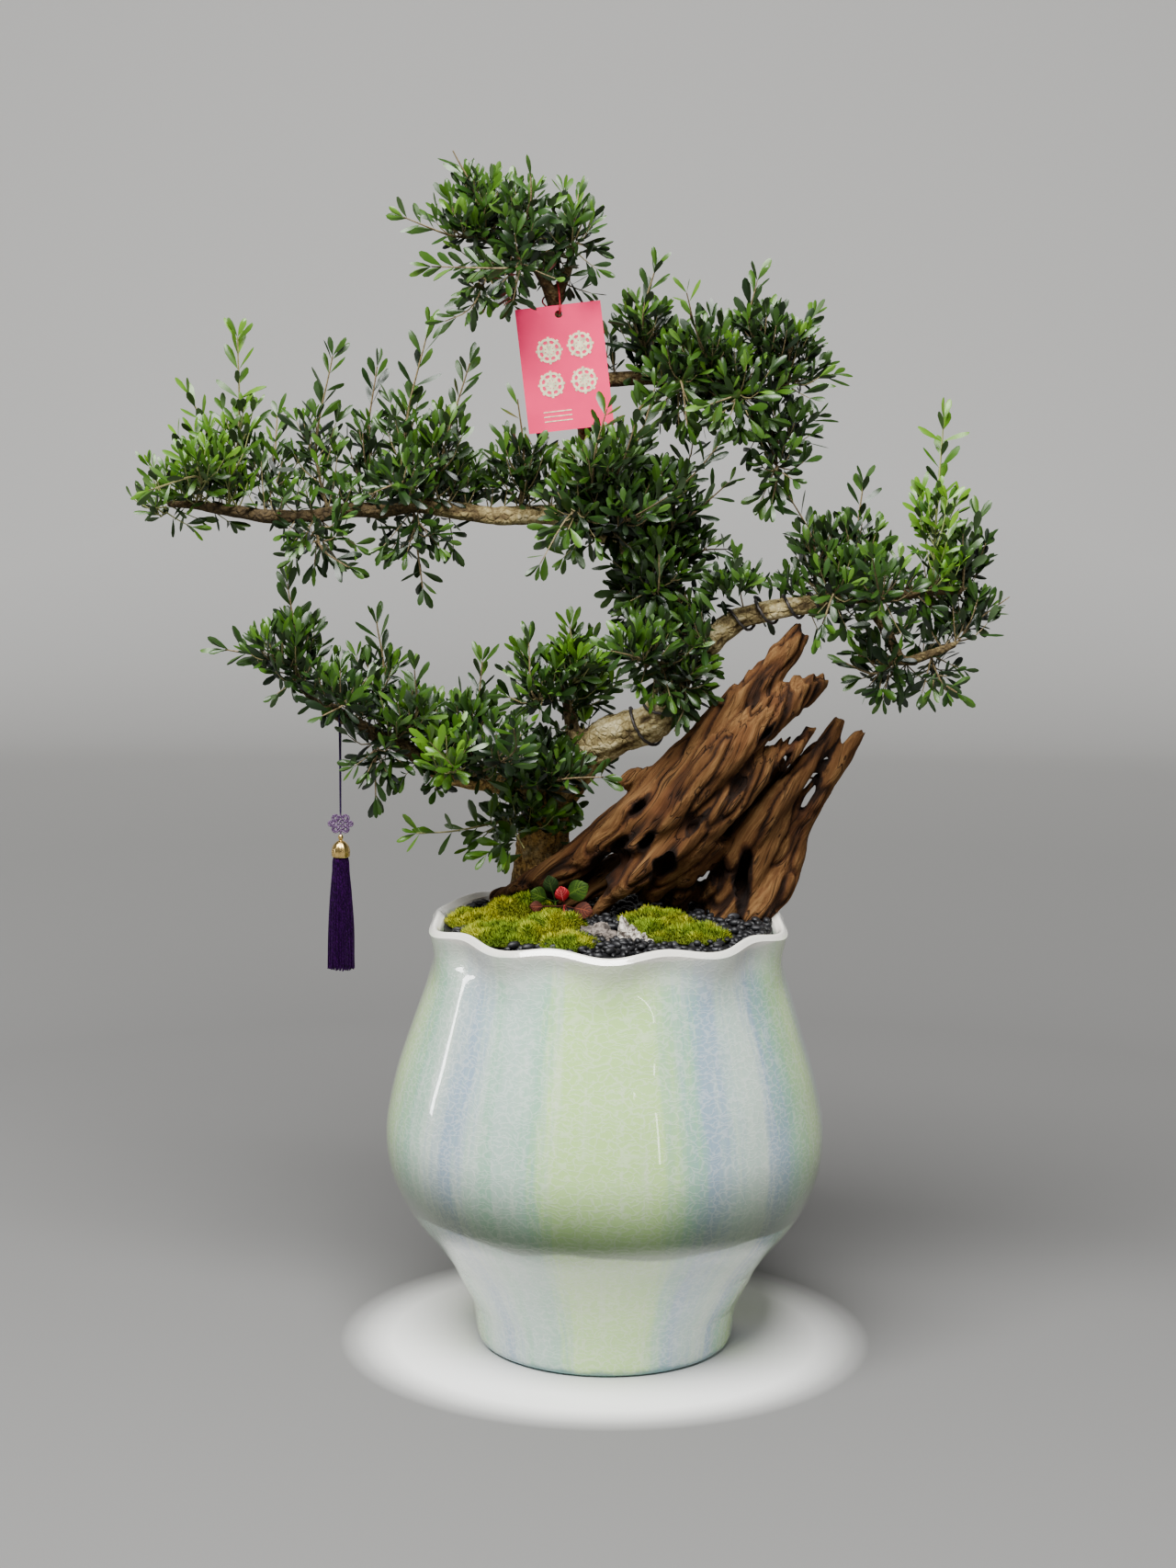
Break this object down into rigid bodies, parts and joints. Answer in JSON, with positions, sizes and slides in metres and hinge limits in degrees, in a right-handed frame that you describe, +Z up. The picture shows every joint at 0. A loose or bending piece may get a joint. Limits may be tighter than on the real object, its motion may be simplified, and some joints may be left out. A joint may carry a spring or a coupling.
{
  "type": "boxwood bonsai",
  "caption": "Boxwood bonsai with a twisted trunk and clouds of small leaves in a vase-shaped glazed pot, with driftwood, moss, stones, a red greeting tag and a tassel.",
  "frame": {"origin": "centre of the pot's foot, on the surface it stands on", "axes": "+Z up; -Y towards the viewer of the picture; +X to the picture's right"},
  "size_m": [0.7501, 0.383, 1.0323],
  "materials": {
    "crackle_glaze": "glossy crackle glaze in soft vertical bands of green, blue and white",
    "soil": "damp earth",
    "gravel": "small dark pebbles",
    "moss": "soft yellow-green moss cushions",
    "grey_stone": "rough flat stone",
    "pale_stone": "rough upright stone",
    "driftwood": "weathered brown driftwood with deep grain",
    "bark": "pale tan corky bark",
    "nerve_leaf_green": "living leaf, satin",
    "nerve_leaf_red": "living leaf, red veined",
    "wire": "dark annealed training wire",
    "tag_card": "pink-red card with a gold ornament",
    "tag_thread": "fine red thread",
    "tassel_cord": "dark purple cord",
    "knot_charm": "lavender and silver knotted filigree",
    "gold": "polished gold cap and bead",
    "tassel_threads": "deep purple silky threads",
    "boxwood_leaves": "small glossy dark green leaves with paler tips on yellow-green twigs"
  },
  "bodies": {
    "root": {"pot": "crackle_glaze", "soil": "soil", "gravel": "gravel", "moss_left": "moss", "moss_right": "moss", "stone_flat": "grey_stone", "stone_upright": "pale_stone", "driftwood": "driftwood", "trunk_and_branches": "bark", "nerve_plant_green": "nerve_leaf_green", "nerve_plant_red": "nerve_leaf_red", "training_wire_upper": "wire", "training_wire_lower": "wire", "greeting_tag": "tag_card", "tag_thread": "tag_thread", "tassel_cord": "tassel_cord", "knot_charm": "knot_charm", "tassel_cap": "gold", "tassel_skirt": "tassel_threads", "spray_top_left": "boxwood_leaves", "spray_top_crown": "boxwood_leaves", "spray_top_front": "boxwood_leaves", "spray_top_right": "boxwood_leaves", "spray_upper_inner": "boxwood_leaves", "spray_upper_front": "boxwood_leaves", "spray_upper_crown": "boxwood_leaves", "spray_upper_end": "boxwood_leaves", "spray_upper_tail": "boxwood_leaves", "spray_middle_left": "boxwood_leaves", "spray_middle_front": "boxwood_leaves", "spray_middle_crown": "boxwood_leaves", "spray_middle_right": "boxwood_leaves", "spray_left_end": "boxwood_leaves", "spray_left_tall": "boxwood_leaves", "spray_left_third": "boxwood_leaves", "spray_left_fourth": "boxwood_leaves", "spray_left_fifth": "boxwood_leaves", "spray_left_sixth": "boxwood_leaves", "spray_left_under": "boxwood_leaves", "spray_left_drop": "boxwood_leaves", "spray_low_end": "boxwood_leaves", "spray_low_under": "boxwood_leaves", "spray_low_third": "boxwood_leaves", "spray_low_fourth": "boxwood_leaves", "spray_low_front": "boxwood_leaves", "spray_low_inner": "boxwood_leaves", "spray_low_rise": "boxwood_leaves", "spray_low_right": "boxwood_leaves", "spray_trunk_base": "boxwood_leaves", "spray_fork_left": "boxwood_leaves", "spray_fork_front": "boxwood_leaves", "spray_fork_right": "boxwood_leaves", "spray_right_first": "boxwood_leaves", "spray_right_second": "boxwood_leaves", "spray_right_front": "boxwood_leaves", "spray_right_tall": "boxwood_leaves", "spray_right_back": "boxwood_leaves", "spray_right_low": "boxwood_leaves"}
  },
  "joints": []
}
